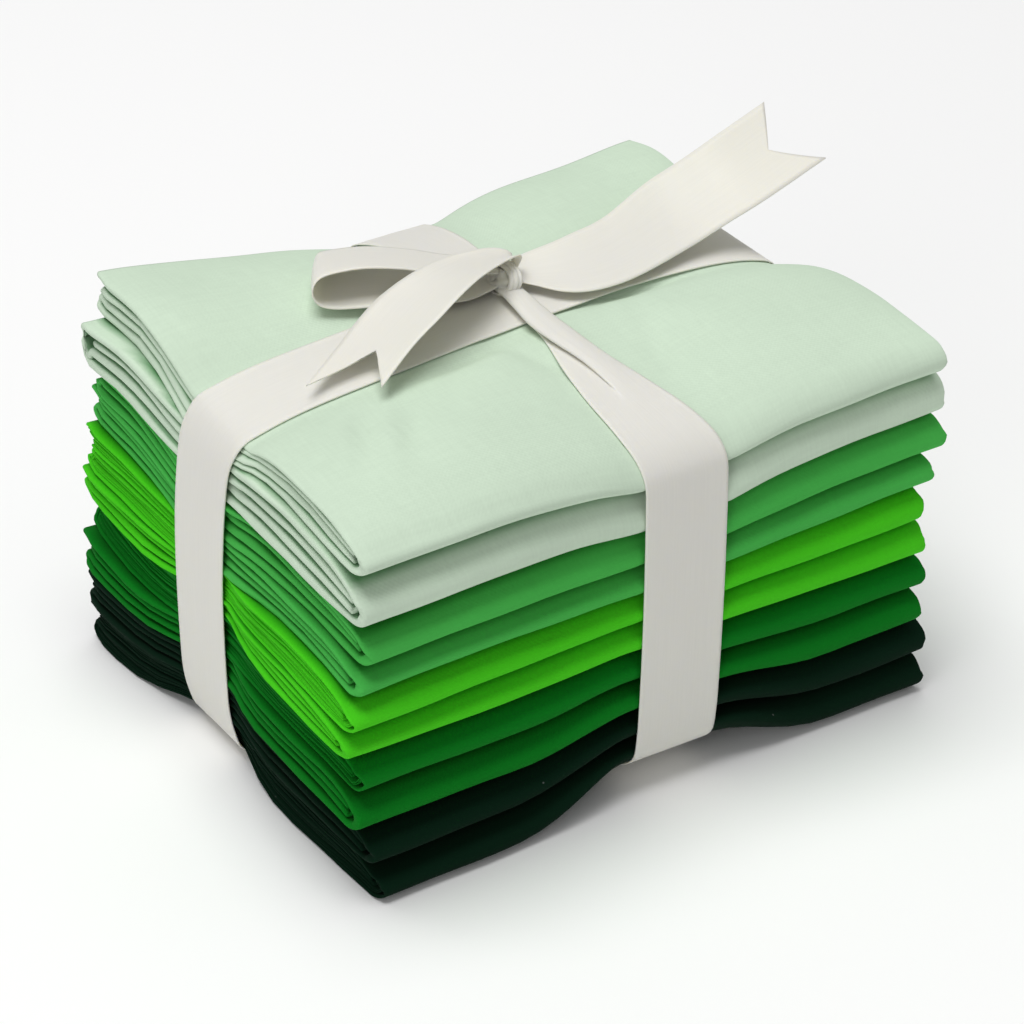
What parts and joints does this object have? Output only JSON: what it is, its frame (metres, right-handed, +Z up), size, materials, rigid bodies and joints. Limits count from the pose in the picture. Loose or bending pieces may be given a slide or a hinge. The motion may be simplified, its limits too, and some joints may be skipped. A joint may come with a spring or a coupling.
{
  "type": "fat quarter bundle",
  "caption": "Stack of folded quilting cotton in shades of green, from mint to near-black, tied both ways with a cream satin ribbon in a half bow.",
  "frame": {"origin": "bottom centre of the whole bundle's box, ribbon tails included", "axes": "+X along the folded width to the end where the long tail stands out, +Y from the rounded front folds to the open back edges, +Z up"},
  "size_m": [0.1628, 0.1208, 0.105],
  "materials": {
    "mint": "matte plain weave",
    "grass": "matte plain weave",
    "lime": "matte plain weave",
    "emerald": "matte plain weave",
    "forest": "matte plain weave",
    "ribbon": "soft satin weave"
  },
  "bodies": {
    "root": {"fat_quarter_01": "mint", "fat_quarter_02": "mint", "fat_quarter_03": "grass", "fat_quarter_04": "grass", "fat_quarter_05": "lime", "fat_quarter_06": "lime", "fat_quarter_07": "emerald", "fat_quarter_08": "emerald", "fat_quarter_09": "forest", "fat_quarter_10": "forest", "ribbon_tie": "ribbon"}
  },
  "joints": []
}
